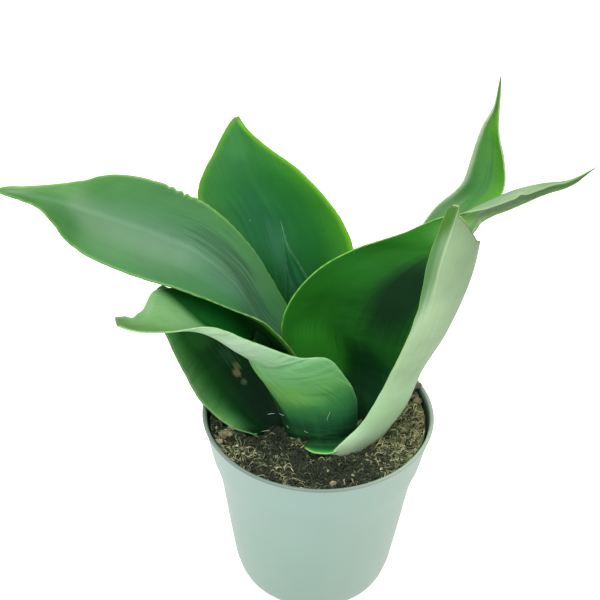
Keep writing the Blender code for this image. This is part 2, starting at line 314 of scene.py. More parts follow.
# A wound is the edge it is in, its place from foot 0 to tip 1, and its half width and depth in mm
WOUNDS = {
    "leaf_left_long": (
        ("right", 0.622, 1.4, 0.9), ("right", 0.604, 2.0, 1.3), ("right", 0.588, 1.2, 1.6),
        ("right", 0.573, 2.2, 1.1), ("right", 0.556, 1.2, 0.8), ("right", 0.80, 5.0, 0.5),
        ("left", 0.79, 4.0, 0.6), ("left", 0.74, 2.5, 0.4),
    ),
    "leaf_front_twisted": (("right", 0.955, 2.6, 1.8),),
    "leaf_right_long": (("left", 0.83, 2.0, 0.7), ("left", 0.90, 4.0, 0.6)),
}
# How far the front right leaf's torn top lies below a straight cut, from its left edge -1 to its
# right edge 1: the middle stands up in a corner and a rounded lobe, and it is ragged all along
TORN_TOP = (
    (-1.0, 0.3), (-0.75, 0.9), (-0.5, -0.4), (-0.3, -1.6), (0.1, -3.1), (0.3, -3.3), (0.52, -3.2),
    (0.56, -4.5), (0.6, -6.4), (0.75, -5.2), (0.86, -3.8), (0.95, -1.2), (1.0, 0.5),
)
TORN_RAGGED = 0.4


def smooth_path(stations, steps):
    """Even steps along a smooth curve through the stations' edges and cup depth."""
    knots = np.array([(*left, *right, cup) for left, right, cup in stations], dtype=float)
    reach = np.concatenate([[0.0], np.cumsum(np.linalg.norm(np.diff(knots[:, :6], axis=0), axis=1))])
    pieces = np.diff(knots, axis=0) / np.diff(reach)[:, None]
    before, after = np.diff(reach)[:-1, None], np.diff(reach)[1:, None]
    middle = (pieces[:-1] * after + pieces[1:] * before) / (before + after)
    slopes = np.concatenate([pieces[:1], middle, pieces[-1:]])
    place = np.linspace(0.0, reach[-1], steps)
    k = np.clip(np.searchsorted(reach, place, side="right") - 1, 0, len(knots) - 2)
    span = (reach[k + 1] - reach[k])[:, None]
    f = (place[:, None] - reach[k][:, None]) / span
    return (
        (2 * f**3 - 3 * f**2 + 1) * knots[k]
        + (f**3 - 2 * f**2 + f) * span * slopes[k]
        + (3 * f**2 - 2 * f**3) * knots[k + 1]
        + (f**3 - f**2) * span * slopes[k + 1]
    )


def unit(vectors):
    return vectors / np.linalg.norm(vectors, axis=-1, keepdims=True)


def missing_margin(wounds, edge, length, rows, seed):
    """Flesh missing from one margin in mm, row by row, with the slight waves of any real margin."""
    place = np.linspace(0.0, 1.0, rows)
    layer = 0.0 if edge == "left" else 7.0
    waves = [noise.noise(Vector((p * length / MARGIN_WAVE_LENGTH, seed, layer))) for p in place]
    missing = MARGIN_LOSS + MARGIN_WAVE * np.array(waves)
    for side, centre, half_width, deep in wounds:
        if side == edge:
            away = np.abs(place - centre) * length / half_width
            missing += deep * np.clip(1.0 - away, 0.0, 1.0) ** 0.7
    return missing


def blade_surface(stations, rows, columns, wounds, seed, sharp):
    """Middle of the blade as rows x columns points in mm."""
    path = smooth_path(stations, rows)
    left, right, depth = path[:, :3], path[:, 3:6], path[:, 6]
    middle = (left + right) / 2
    length = np.linalg.norm(np.diff(middle, axis=0), axis=1).sum()
    along = unit(np.gradient(middle, axis=0))
    width = np.linalg.norm(right - left, axis=1)
    side = unit(right - left)
    outward = unit(np.cross(along, side))
    radius = (width**2 / 4 + depth**2) / (2 * depth)
    half = np.arcsin(np.minimum(1.0, width / 2 / radius))
    half = np.where(depth > width / 2, math.pi - half, half)
    narrow = np.minimum(1.0, width / NARROW_WIDTH)
    low = -1.0 + 2.0 * missing_margin(wounds, "left", length, rows, seed) * narrow / width
    high = 1.0 - 2.0 * missing_margin(wounds, "right", length, rows, seed) * narrow / width
    if sharp:
        left_to_go = (1.0 - np.linspace(0.0, 1.0, rows)) / SHARP_SHARE
        drawn_in = np.clip(left_to_go, 0.05, 1.0) ** 0.6
        low, high = low * drawn_in, high * drawn_in
    place = np.linspace(0.0, 1.0, columns)[None, :]
    turn = low[:, None] * (1 - place) + high[:, None] * place
    angle = turn * half[:, None]
    sideways = radius[:, None] * np.sin(angle)
    bulge = radius[:, None] * np.cos(angle) - (radius - depth)[:, None]
    return middle[:, None] + side[:, None] * sideways[..., None] + outward[:, None] * bulge[..., None]


def tear_top(surface, profile, seed):
    """Shorten or lengthen each column so that the top follows the torn profile."""
    rows, columns = surface.shape[:2]
    places, cuts = zip(*profile)
    last_step = surface[-1] - surface[-2]
    lengths = running_length(surface, 0)
    torn = surface.copy()
    for k in range(columns):
        across = 2.0 * k / (columns - 1) - 1.0
        ragged = TORN_RAGGED * noise.noise(Vector((across * 14.0, seed, 3.0)))
        whole = lengths[-1, k]
        wanted = np.linspace(0.0, whole - np.interp(across, places, cuts) - ragged, rows)
        for axis in range(3):
            inside = np.interp(wanted, lengths[:, k], surface[:, k, axis])
            beyond = np.maximum(wanted - whole, 0.0) * last_step[k, axis] / np.linalg.norm(last_step[k])
            torn[:, k, axis] = inside + beyond
    return torn


def running_length(surface, axis):
    steps = np.linalg.norm(np.diff(surface, axis=axis), axis=2)
    start = np.zeros_like(surface[:1, :, 0] if axis == 0 else surface[:, :1, 0])
    return np.concatenate([start, np.cumsum(steps, axis=axis)], axis=axis)


# %% [markdown]
# ## Leaf mesh
# The surface is laid over a grid from `create_grid`, and a Solidify modifier gives the fleshy
# thickness, with a vertex group that thins it towards the margins and the tip. Solidify also sorts
# the faces: the dark inner face keeps material 0, the pale outer face gets 1 and the margin gets 2.
# Five measures are stored on the vertices, because veins, bands and the light margin follow the
# blade.

# %% Leaf mesh builder
THICK_AT_BASE = 2.6
THICK_AT_MIDDLE = 2.2
THICK_AT_TIP = 1.2
MARGIN_THICK = 0.7
# The margin is rounded over this width
MARGIN_ROUNDING = 1.6


def blade_object(name, surface):
    rows, columns = surface.shape[:2]
    shape = bmesh.new()
    bmesh.ops.create_grid(shape, x_segments=columns - 1, y_segments=rows - 1, size=0.5)
    shape.verts.ensure_lookup_table()
    column = np.array([round((v.co.x + 0.5) * (columns - 1)) for v in shape.verts])
    row = np.array([round((v.co.y + 0.5) * (rows - 1)) for v in shape.verts])
    for vertex, i, k in zip(shape.verts, row, column):
        vertex.co = surface[i, k] * MM
    mesh = finished_mesh(name, shape)
    from_left = running_length(surface, 1)
    width = from_left[:, -1:]
    measures = {
        "across_mm": from_left - width / 2,
        "along_mm": running_length(surface, 0),
        "margin_mm": np.minimum(from_left, width - from_left),
        "share": np.linspace(0.0, 1.0, rows)[:, None] + np.zeros((1, columns)),
        "across_share": 2.0 * from_left / np.maximum(width, 0.01) - 1.0,
    }
    for key, values in measures.items():
        stored = mesh.attributes.new(key, "FLOAT", "POINT")
        stored.data.foreach_set("value", values[row, column].astype(np.float32))
    made = new_object(name, mesh)
    thicken(made, (flesh_thickness(measures, width) / THICK_AT_BASE)[row, column])
    return made


def flesh_thickness(measures, width):
    """Fleshy in the middle, thin and rounded at the margin, and never thick on a narrow tip."""
    middle = np.interp(measures["share"], (0.0, 0.45, 1.0), (THICK_AT_BASE, THICK_AT_MIDDLE, THICK_AT_TIP))
    near = np.clip(1.0 - np.abs(measures["across_share"]) ** 3.0, 0.0, 1.0)
    rounded = np.sqrt(np.clip(measures["margin_mm"] / MARGIN_ROUNDING, 0.0, 1.0))
    thick = MARGIN_THICK + (middle - MARGIN_THICK) * np.minimum(near * 1.3, 1.0) * rounded
    return np.minimum(thick, 0.2 + 0.22 * width)


def thicken(leaf, weights):
    group = leaf.vertex_groups.new(name="thickness")
    for number, weight in enumerate(weights):
        group.add([number], float(weight), "REPLACE")
    solid = leaf.modifiers.new("flesh", "SOLIDIFY")
    solid.thickness = THICK_AT_BASE * MM
    solid.offset = 0.0
    solid.vertex_group = "thickness"
    solid.thickness_vertex_group = 0.0
    solid.material_offset = 1
    solid.material_offset_rim = 2


# %% [markdown]
# ## Leaf skin
# Living leaf is a waxy cuticle over green flesh: a fairly smooth dielectric with an IOR near 1.45.
# The inner face is deep green and carries a grey veil of sky, which on the long left leaf is partly
# painted into its colour, and the outer face has a pale bloom and faint cross bands. Nothing is
# printed from a picture: the colours run along and across the blade by its stored measures. Much of
# them is painted light and shade: feet painted dark as the shade deep in the rosette, shadows of
# neighbours painted on, and lit edges, sheens and light through thin margins painted lighter. Soft
# patches darken or lighten it where the leaf is bruised, shaded, lit or thin, and noise with real
# sizes breaks everything up.

# %% Leaf skin material
LEAF_IOR = 1.45
MEASURES = ("across_mm", "along_mm", "margin_mm", "share", "across_share")
# Where the margin's painted shade at the foot starts to fade and where it ends, in mm up the blade
MARGIN_FOOT_SHADE = (18.0, 45.0)
# along: (place, colour) from foot 0 to tip 1; dark feet are painted shade. across: (place, colour,
# share mixed in) from the left margin 0 to the right 1, often painted light on a lit edge and
# painted shade in the cup. slant: how far the colours along the blade lean with the place across.
# patches: (across -1 to 1, along 0 to 1, half width, half length, colour, share, streaky share);
# most are painted shade, painted shadow or painted highlight, and a few are scars.
# glow: painted light through the thin margin: colour, width in mm, share at the left margin and at
# the right, and where along it starts.
# rib and bands: colour and share. veins: how much lighter and darker they are. tip: colour and
# where it starts. gloss: roughness and specular level.
PLAIN_FACE = {
    # The foot is painted darker, as the shade deep in the rosette
    "along": ((0.0, "#14471F"), (1.0, "#3C9140")),
    "across": ((0.0, "#3C9140", 0.0), (1.0, "#3C9140", 0.0)),
    "slant": 0.0,
    "patches": (),
    "glow": ("#5FA52A", 3.0, 0.5, 0.5, 0.0),
    "rib": ("#4F9A55", 0.1),
    "bands": ("#2C8034", 0.1),
    "veins": 0.07,
    "tip": ("#5E8A48", 0.985),
    "gloss": (0.42, 0.3),
}


def base_colour(material, at, face):
    """Colour along the blade, tinted across it."""
    leaning = add(material, "Math", (at["across_share"], face["slant"], at["share"]),
                  operation="MULTIPLY_ADD")
    body = add(material, "ValToRGB", (leaning,), stops=face["along"])
    turn = add(material, "MapRange", (at["across_share"], -1.0, 1.0))
    tint = add(material, "ValToRGB", (turn,), stops=face["across"])
    return add(material, "Mix", {0: tint.outputs["Alpha"], 6: body, 7: tint}, data_type="RGBA")


def flesh_pattern(material, at, body, face):
    """Clouds, long veins and cross bands. Gives the colour, the veins and a height for the bump."""
    flat = add(material, "CombineXYZ", (at["across_mm"], at["along_mm"], face["seed"] * 9.0))
    # Clouds 25 mm wide, as the flesh is never an even green
    clouds = add(material, "TexNoise", {"Vector": flat, "Scale": 1 / 25, "Detail": 3.0})
    clouds = add(material, "MapRange", (clouds, 0.3, 0.7, 0.88, 1.12))
    # Long veins 0.9 mm apart that run the length of the blade
    long_way = add(material, "Mapping", {"Vector": flat, "Scale": (1 / 0.9, 1 / 45, 1.0)})
    veins = add(material, "TexNoise", {"Vector": long_way, "Scale": 1.0, "Detail": 2.0})
    vein_tone = add(material, "MapRange", (veins, 0.3, 0.7, 1.0 - face["veins"], 1.0 + face["veins"]))
    tone = add(material, "Math", (clouds, vein_tone), operation="MULTIPLY")
    body = toned(material, body, tone)
    # Cross bands about 4.5 mm apart, broken and wavy
    cross_way = add(material, "Mapping", {"Vector": flat, "Scale": (1 / 20, 1 / 4.5, 1.0)})
    band = add(material, "TexNoise", {"Vector": cross_way, "Scale": 1.0, "Detail": 3.0, "Distortion": 0.8})
    band_share = add(material, "MapRange", (band, 0.45, 0.68, 0.0, face["bands"][1]),
                     interpolation_type="SMOOTHSTEP")
    body = add(material, "Mix", {0: band_share, 6: body, 7: face["bands"][0]}, data_type="RGBA")
    # Midrib, 2.4 mm to each side
    from_rib = add(material, "Math", (at["across_mm"],), operation="ABSOLUTE")
    rib_share = add(material, "MapRange", (from_rib, 0.2, 2.4, face["rib"][1], 0.0),
                    interpolation_type="SMOOTHSTEP")
    body = add(material, "Mix", {0: rib_share, 6: body, 7: face["rib"][0]}, data_type="RGBA")
    height = add(material, "Math", (veins, 0.5, band), operation="MULTIPLY_ADD")
    return body, veins, height


def soft_patch(material, at, body, veins, patch):
    """An oval of another colour that fades out, torn into streaks by the veins where asked."""
    across, along, half_width, half_length, code, share, streaky = patch
    place = add(material, "CombineXYZ", (at["across_share"], at["share"]))
    place = add(material, "Mapping", {
        "Vector": place, "Location": (across, along, 0.0), "Scale": (half_width, half_length, 1.0)},
        vector_type="TEXTURE")
    away = add(material, "VectorMath", (place,), operation="LENGTH")
    torn = add(material, "MapRange", (veins, 0.35, 0.65, -streaky, streaky))
    away = add(material, "Math", (away, torn))
    cover = add(material, "MapRange", (away, 0.35, 1.0, share, 0.0), interpolation_type="SMOOTHSTEP")
    return add(material, "Mix", {0: cover, 6: body, 7: code}, data_type="RGBA")


def light_margin(material, at, body, face):
    """The blade thins at its margins and lets light through, painted here as a lighter glow, and its tip is
    dry.
    """
    code, width, left_share, right_share, start = face["glow"]
    side = add(material, "MapRange", (at["across_share"], -0.2, 0.2, left_share, right_share))
    grown = add(material, "MapRange", (at["share"], start, start + 0.15), interpolation_type="SMOOTHSTEP")
    near = add(material, "MapRange", (at["margin_mm"], 0.0, width, 1.0, 0.0),
               interpolation_type="SMOOTHERSTEP")
    share = add(material, "Math", (side, near), operation="MULTIPLY")
    share = add(material, "Math", (share, grown), operation="MULTIPLY")
    body = add(material, "Mix", {0: share, 6: body, 7: code}, data_type="RGBA")
    tip_code, tip_start = face["tip"]
    tip = add(material, "MapRange", (at["share"], tip_start, min(tip_start + 0.02, 1.0), 0.0, 0.85),
              interpolation_type="SMOOTHSTEP")
    return add(material, "Mix", {0: tip, 6: body, 7: tip_code}, data_type="RGBA")


def leaf_skin(name, changes, seed):
    """Waxy leaf cuticle, satin and slightly uneven."""
    face = PLAIN_FACE | changes | {"seed": seed}
    material = new_material(name)
    at = {key: add(material, "Attribute", attribute_name=key).outputs["Fac"] for key in MEASURES}
    body = base_colour(material, at, face)
    body, veins, height = flesh_pattern(material, at, body, face)
    for patch in face["patches"]:
        body = soft_patch(material, at, body, veins, patch)
    body = light_margin(material, at, body, face)
    bump = add(material, "Bump", {"Strength": 0.25, "Distance": 0.00012, "Height": height})
    roughness, level = face["gloss"]
    return shade(material, {
        "Base Color": body, "Normal": bump, "Roughness": roughness, "Specular IOR Level": level,
        "IOR": LEAF_IOR})


def margin_skin(name, dull, bright, foot=None):
    """The thin corky edge of a blade: drier than its faces, blotched, and duller at its foot, or painted
    dark there as shade where a foot tone is given.
    """
    material = new_material(name)
    along = add(material, "Attribute", attribute_name="along_mm").outputs["Fac"]
    place = add(material, "CombineXYZ", (along,))
    # Blotches 4 mm long
    spots = add(material, "TexNoise", {"Vector": place, "Scale": 1 / 4, "Detail": 2.0})
    colour = add(material, "ValToRGB", (spots,), stops=((0.35, dull), (0.7, bright)))
    # Painted shade: low on the blade, where the leaves crowd together, the margin takes the foot tone
    fade_start, fade_end = MARGIN_FOOT_SHADE
    low = add(material, "MapRange", (along, fade_start, fade_end, 1.0, 0.0))
    colour = add(material, "Mix", {0: low, 6: colour, 7: foot or dull}, data_type="RGBA")
    return shade(material, {"Base Color": colour, "Roughness": 0.55, "IOR": LEAF_IOR})


# %% [markdown]
# ## How each leaf looks
# No two leaves share a look, and much of each look is painted light and shade: the ones deep in the
# rosette are painted nearly black-green at the foot as shade, the long left one lies flat under the
# sky and is painted grey with the veil of sky it reflects, and the front right one turns its chalky
# back to the eye. One table per leaf holds what differs from a plain face.

# %% Looks of the eight leaves
BACK_LOOK = {
    "inner": {
        # Painted shade darkens the foot, and the glow is painted light through the right margin
        "along": (
            (0, "#0F3A1C"), (0.4, "#205F2C"), (0.6, "#25703A"), (0.75, "#2B7A36"), (0.88, "#47954E"),
            (1, "#4C9A45"),
        ),
        "across": (
            (0, "#5CA24C", 0.6), (0.25, "#3A8A44", 0.25), (0.45, "#1F6A3C", 0.4),
            (0.75, "#277C26", 0.5), (1, "#55AE22", 0.7),
        ),
        "glow": ("#74C82A", 4.5, 0.5, 1, 0.1),
        "patches": (
            # The first patch is painted shade over the foot
            (-0.6, 0.12, 1, 0.22, "#0F3A1C", 0.95, 0.1), (-0.25, 0.6, 0.4, 0.16, "#1B6244", 0.45, 0.3),
            (-0.1, 0.5, 0.16, 0.14, "#3F7F60", 0.5, 0.4), (-0.15, 0.9, 0.5, 0.08, "#4B964E", 0.35, 0.1),
        ),
        "tip": ("#8A6B5A", 0.982),
        "gloss": (0.42, 0.25),
    },
    "outer": {"along": ((0, "#1C4A24"), (1, "#7FAE78"))},
    "margin": ("#4E9A2A", "#8CC24E"),
}
SPEAR_LOOK = {
    "inner": {
        "along": ((0, "#14472A"), (0.5, "#1C5A3A"), (1, "#2F7A4A")),
        # Across, the dark band is painted shade in the rolled channel, and the pale right margin and the
        # glow are painted light on its edge
        "across": (
            (0, "#2F7A4C", 0.6), (0.3, "#1F5A3C", 0.6), (0.7, "#2A6A50", 0.4), (1, "#5FA478", 0.6),
        ),
        "glow": ("#7FC890", 1.2, 0, 0.8, 0),
        "patches": ((0, 0.75, 0.6, 0.16, "#2F8F48", 0.6, 0.1),),
        "gloss": (0.45, 0.25),
    },
    "outer": {"along": ((0, "#1C4A34"), (1, "#4F8A68"))},
    "margin": ("#1C5A38", "#3A7F56"),
}
LEFT_LONG_LOOK = {
    "inner": {
        # The grey of this face is partly painted reflection of the sky, and its foot is painted darker as
        # shade
        "along": (
            (0, "#24492F"), (0.3, "#35644A"), (0.45, "#3A6C4C"), (0.6, "#437851"), (0.75, "#3F7640"),
            (0.88, "#3C742B"), (1, "#4A7C36"),
        ),
        "across": (
            (0, "#347830", 0.5), (0.2, "#2E6C28", 0.55), (0.5, "#4A7A56", 0.2), (0.8, "#488A40", 0.4),
            (1, "#4F9240", 0.5),
        ),
        "glow": ("#74B04A", 2, 0.4, 0.6, 0.4),
        "rib": ("#7FA98A", 0.16),
        "veins": 0.05,
        "patches": (
            (0.35, 0.47, 0.4, 0.11, "#1F3F2C", 0.4, 0.5), (0.2, 0.38, 0.35, 0.09, "#22452F", 0.4, 0.5),
            # The two grey patches on this line are a painted sheen of the sky
            (-0.4, 0.44, 0.4, 0.14, "#4F7F62", 0.3, 0.5), (0, 0.66, 0.5, 0.12, "#507A5A", 0.3, 0.3),
        ),
        "tip": ("#4F7A40", 0.99),
        "gloss": (0.38, 0.42),
    },
    # The outer face is painted dark up to about the middle, as shade under the blade
    "outer": {"along": ((0, "#0E2E16"), (0.45, "#143A1C"), (0.6, "#4C8048"), (1, "#78A870"))},
    "margin": ("#4A7F3A", "#86B468"),
}
RIGHT_LONG_LOOK = {
    "inner": {
        # The foot is painted dark as shade, and the pale stops from 0.69 on are painted lighter, which
        # makes up for the shade on the underside of the bent end
        "along": (
            (0, "#0B2A18"), (0.12, "#16361F"), (0.2, "#0F4A12"), (0.28, "#1C6A18"), (0.36, "#15600F"),
            (0.46, "#2C7D29"), (0.62, "#2E7A1E"), (0.69, "#74B25C"), (0.74, "#D8F0CC"),
            (0.82, "#CCE6BE"), (0.9, "#A8CC98"), (0.95, "#7FAE70"), (1, "#5A8A4E"),
        ),
        # Across, the left margin is painted lighter where light gets into the cup, and the deep cup is
        # painted dark as shade
        "across": (
            (0, "#2E8A26", 0.5), (0.25, "#25781A", 0.15), (0.5, "#0A400C", 0.4), (0.7, "#0F3A1A", 0.55),
            (1, "#123A1E", 0.45),
        ),
        "glow": ("#3F9022", 2, 0.25, 0.2, 0.1),
        "patches": (
            # The dark patches are painted shade in the cup, and the bright one near the foot is painted
            # light by the left margin
            (0.6, 0.42, 0.6, 0.17, "#082C12", 0.95, 0.05), (-0.5, 0.2, 0.7, 0.12, "#36942A", 0.85, 0.1),
            (0.45, 0.18, 0.5, 0.1, "#10301C", 0.6, 0.2), (-0.2, 0.72, 0.5, 0.04, "#7DB850", 0.7, 0.1),
        ),
        "rib": ("#1C6A18", 0),
        "veins": 0.03,
        "gloss": (0.5, 0.14),
    },
    "outer": {
        "along": (
            (0, "#3A7A3A"), (0.68, "#7FA678"), (0.76, "#829F7A"), (0.86, "#809F76"), (0.92, "#62904F"),
            (0.97, "#547F42"), (1, "#4A6F3C"),
        ),
        "bands": ("#5F8A58", 0.3),
        "glow": ("#A9C79A", 1.5, 0.4, 0.4, 0.5),
    },
    "margin": ("#4E962C", "#86BA50"),
}
FRONT_TWISTED_LOOK = {
    "inner": {
        # The dark part of the inner face is a painted shadow of the long left leaf, its edge leaned by
        # slant, and the pale end is painted light where the face turns up to the sky
        "slant": -0.115,
        "along": (
            (0, "#0C3A16"), (0.55, "#137026"), (0.7, "#0E4A18"), (0.745, "#6A9F62"), (0.8, "#74A26C"),
            (0.9, "#68985C"), (0.96, "#578246"), (1, "#547C42"),
        ),
        "glow": ("#A6CF98", 1.2, 0.3, 0.3, 0.7),
        "tip": ("#7A7A58", 0.985),
        "gloss": (0.45, 0.25),
    },
    "outer": {
        # The foot is painted dark as shade between the front leaves
        "along": (
            (0, "#0C2418"), (0.08, "#143824"), (0.125, "#215838"), (0.165, "#2F7646"), (0.2, "#43904C"),
            (0.235, "#66B25C"), (0.3, "#6EB668"), (0.37, "#78BA7A"), (0.48, "#98CE98"),
            (0.64, "#C4EAC0"), (0.8, "#B8E2B2"), (1, "#84B078"),
        ),
        "patches": (
            # The lime patches are painted highlights, and the two dark ones are painted shade, low on the
            # right and along the left edge
            (0.55, 0.34, 0.6, 0.09, "#9CE080", 0.7, 0.4), (-0.1, 0.6, 1.5, 0.1, "#D2F2CE", 0.5, 0.1),
            (0.9, 0.2, 0.25, 0.16, "#123A24", 0.85, 0.1), (-0.75, 0.22, 0.4, 0.08, "#2E7E44", 0.5, 0.3),
            (0.15, 0.28, 0.55, 0.07, "#88D068", 0.6, 0.2),
        ),
        "bands": ("#3E8A3C", 0.35),
        "glow": ("#A6CF98", 1.5, 0.4, 0.2, 0.1),
        "gloss": (0.45, 0.3),
    },
    "margin": ("#7FB478", "#A9D29C"),
}
FRONT_LEFT_LOOK = {
    "inner": {
        # The foot is painted nearly black, as shade under the front twisted leaf
        "along": (
            (0, "#071F12"), (0.25, "#08281A"), (0.42, "#1A4720"), (0.6, "#1D5222"), (0.8, "#1F5824"),
            (1, "#2F7230"),
        ),
        # Across, the left margin is painted light where it is lit, and the rest is painted shade under the
        # front twisted leaf
        "across": (
            (0, "#7CB070", 0.9), (0.13, "#5C9A56", 0.8), (0.27, "#3A803E", 0.55), (0.4, "#1D4C20", 0.2),
            (0.6, "#0A2416", 0.6), (0.8, "#0A2416", 0.6), (1, "#12301C", 0.6),
        ),
        "glow": ("#8CC878", 1.5, 0.7, 0.1, 0),
        "rib": ("#1D4C20", 0),
        "bands": ("#123A1A", 0.2),
        "patches": (
            # The first patch is painted shade over the foot; the small ones from 0.39 to 0.54 along are a
            # scar
            (-0.7, 0.07, 1.3, 0.2, "#0C2A18", 1, 0), (0.45, 0.54, 0.25, 0.08, "#356444", 0.5, 0.5),
            (0.1, 0.68, 0.6, 0.1, "#2F6E30", 0.6, 0.1), (0.5, 0.47, 0.12, 0.03, "#7F9068", 0.5, 0.3),
            (0.4, 0.442, 0.14, 0.03, "#837C60", 0.9, 0.2),
            (0.43, 0.39, 0.13, 0.02, "#5A7A5C", 0.6, 0.2),
        ),
        "gloss": (0.5, 0.06),
    },
    "outer": {"along": ((0, "#1C4A24"), (1, "#6FA068"))},
    # The margin's foot tone is painted shade
    "margin": ("#3F7A38", "#79AA5E", "#10301A"),
}
FRONT_RIGHT_LOOK = {
    "inner": {"along": ((0, "#14471F"), (1, "#3C8140"))},
    "outer": {
        # The pale foot is painted light, which makes up for the shade of the soil and the leaves beside it
        "along": (
            (0, "#BDEEB9"), (0.07, "#BDEEB5"), (0.15, "#B4E0AA"), (0.36, "#ACD0A0"), (0.6, "#ACC99E"),
            (0.8, "#A0BE94"), (0.92, "#96B48A"), (1, "#8CA87E"),
        ),
        "bands": ("#8FB586", 0.06),
        "veins": 0.025,
        "rib": ("#B8D4AC", 0),
        "glow": ("#8FC060", 1.2, 0.1, 0.5, 0.35),
        "patches": (
            (0.98, 0.82, 0.5, 0.26, "#56884E", 0.98, 0.05),
            (0.85, 0.98, 0.45, 0.11, "#447828", 0.98, 0.05),
            # The first patch on this line is painted light over the foot too
            (-0.1, 0.08, 1.9, 0.18, "#E0FFD8", 0.85, 0), (0.55, 0.86, 0.07, 0.3, "#B4D2A6", 0.6, 0.1),
        ),
        "tip": ("#6E6A4C", 0.992),
        "gloss": (0.5, 0.3),
    },
    "margin": ("#86B468", "#A9CE84"),
}
BACK_RIGHT_LOOK = {
    "inner": {
        "along": (
            (0, "#1F5A28"), (0.5, "#52944D"), (0.7, "#5A9C58"), (0.8, "#5CA04C"), (0.87, "#5A9C34"),
            (0.9, "#548A3A"), (0.94, "#4C7838"), (1, "#527442"),
        ),
        # Across, the pale left side is a painted sheen on the edge that curls back
        "across": (
            (0, "#DCEBD6", 0.9), (0.08, "#CFE2C8", 0.8), (0.15, "#8FBF85", 0.4), (0.26, "#569949", 0),
            (0.7, "#5AA01E", 0.6), (1, "#66AC22", 0.85),
        ),
        "glow": ("#6FB038", 1.5, 0, 0.5, 0.4),
        "patches": (
            (-0.5, 0.6, 0.7, 0.09, "#90BA86", 0.9, 0.2), (0, 0.95, 2, 0.07, "#4E7A38", 0.8, 0.1),
            (0.1, 0.69, 0.2, 0.14, "#468050", 0.5, 0.4),
        ),
        "gloss": (0.45, 0.25),
    },
    "outer": {"along": ((0, "#4F8A48"), (0.8, "#9CC494"), (1, "#5A8248"))},
    "margin": ("#8FBF78", "#BFDDB0"),
}
LEAVES = {
    "leaf_back": (BACK_LEAF, BACK_LOOK),
    "leaf_spear": (SPEAR_LEAF, SPEAR_LOOK),
    "leaf_left_long": (LEFT_LONG_LEAF, LEFT_LONG_LOOK),
    "leaf_right_long": (RIGHT_LONG_LEAF, RIGHT_LONG_LOOK),
    "leaf_front_twisted": (FRONT_TWISTED_LEAF, FRONT_TWISTED_LOOK),
    "leaf_front_left": (FRONT_LEFT_LEAF, FRONT_LEFT_LOOK),
    "leaf_front_right": (FRONT_RIGHT_LEAF, FRONT_RIGHT_LOOK),
    "leaf_back_right": (BACK_RIGHT_LEAF, BACK_RIGHT_LOOK),
}

# %% [markdown]
# ## Make the leaves
# Each leaf is a grid fine enough for its nicks, thickened, and covered with its three materials.
# The front right leaf's foot also turns forward on the soil, in a lip that shows its green inner
# side. The lip is one more blade, small and nearly flat, that dresses the same CAD node.

# %% Make the leaves
PATH_STEPS = 200
SHEATH_LIP = (
    ((-6.5, -17.0, 96.5), (-6.0, -20.0, 96.8), 0.2),
    ((-2.5, -12.0, 97.0), (-2.4, -24.0, 97.6), 0.9),
    ((3.0, -11.0, 97.5), (2.4, -25.2, 97.9), 1.0),
    ((9.0, -11.0, 98.0), (7.5, -24.8, 98.1), 1.0),
    ((15.0, -12.0, 98.5), (13.0, -22.5, 99.5), 0.6),
)
SHEATH_LOOK = {
    "inner": {
        "along": ((0, "#1C5A2C"), (1, "#1C5A2C")),
        "across": (
            (0, "#0C2A18", 0.9), (0.62, "#143C24", 0.9), (0.82, "#226A2E", 0.9), (1, "#4CA83E", 0.9),
        ),
        "glow": ("#B4E0A0", 0.8, 0, 0.7, 0),
        "tip": ("#4CA83E", 0.99),
        "gloss": (0.5, 0.1),
    },
    "outer": {"along": ((0, "#7FB86A"), (1, "#9CCB8C"))},
    "margin": ("#8CC878", "#B4E0A0"),
}


def make_leaf(number, name, node, stations, look):
    widest = max(math.dist(left, right) for left, right, cup in stations)
    path = smooth_path(stations, PATH_STEPS)
    middle = (path[:, :3] + path[:, 3:6]) / 2
    length = np.linalg.norm(np.diff(middle, axis=0), axis=1).sum()
    rows = int(length / GRID_STEP) + 2
    columns = int(widest * 1.25 / GRID_STEP) + 8
    surface = blade_surface(stations, rows, columns, WOUNDS.get(name, ()), number, name in SHARP_TIPS)
    if name == "leaf_front_right":
        surface = tear_top(surface, TORN_TOP, number)
    leaf = blade_object(name + "_blade", surface)
    leaf.data.materials.append(leaf_skin(name + "_inner_cuticle", look["inner"], number))
    leaf.data.materials.append(leaf_skin(name + "_outer_cuticle", look["outer"], number + 0.5))
    leaf.data.materials.append(margin_skin(name + "_dry_margin", *look["margin"]))
    dress(leaf, node)
    print(f"{name}: {length:.0f} mm long, {rows} x {columns} points")
    return surface


SURFACES = {}
for number, (leaf_name, (leaf_stations, leaf_look)) in enumerate(LEAVES.items()):
    SURFACES[leaf_name] = make_leaf(number, leaf_name, leaf_name, leaf_stations, leaf_look)
make_leaf(len(LEAVES), "sheath_lip", "leaf_front_right", SHEATH_LIP, SHEATH_LOOK)

# %% [markdown]
# ## Pot
# The pot is injection-moulded polypropylene about 1.3 mm thick: a flat foot, a tapered body, a
# flared shoulder and a collar with a rolled lip. A profile spun about the axis is how the mould
# itself was turned, so `spin` gives the same shape, and the drain holes are cut from it.

# %% Pot
RIM_DIAMETER = 120.0
POT_HEIGHT = 106.0
FOOT_DIAMETER = 83.0
WALL = 1.3
FLOOR = 1.8
COLLAR_BOTTOM = 84.5
SHOULDER_BOTTOM = 62.0
DRAIN_HOLE_DIAMETER = 8.0
DRAIN_CIRCLE_RADIUS = 27.0
DRAIN_HOLES = 6
POT_STEPS = 192
# The inside of the wall is painted dark as shade up to this far below the rim
INNER_SHADE_DROP = 6.0


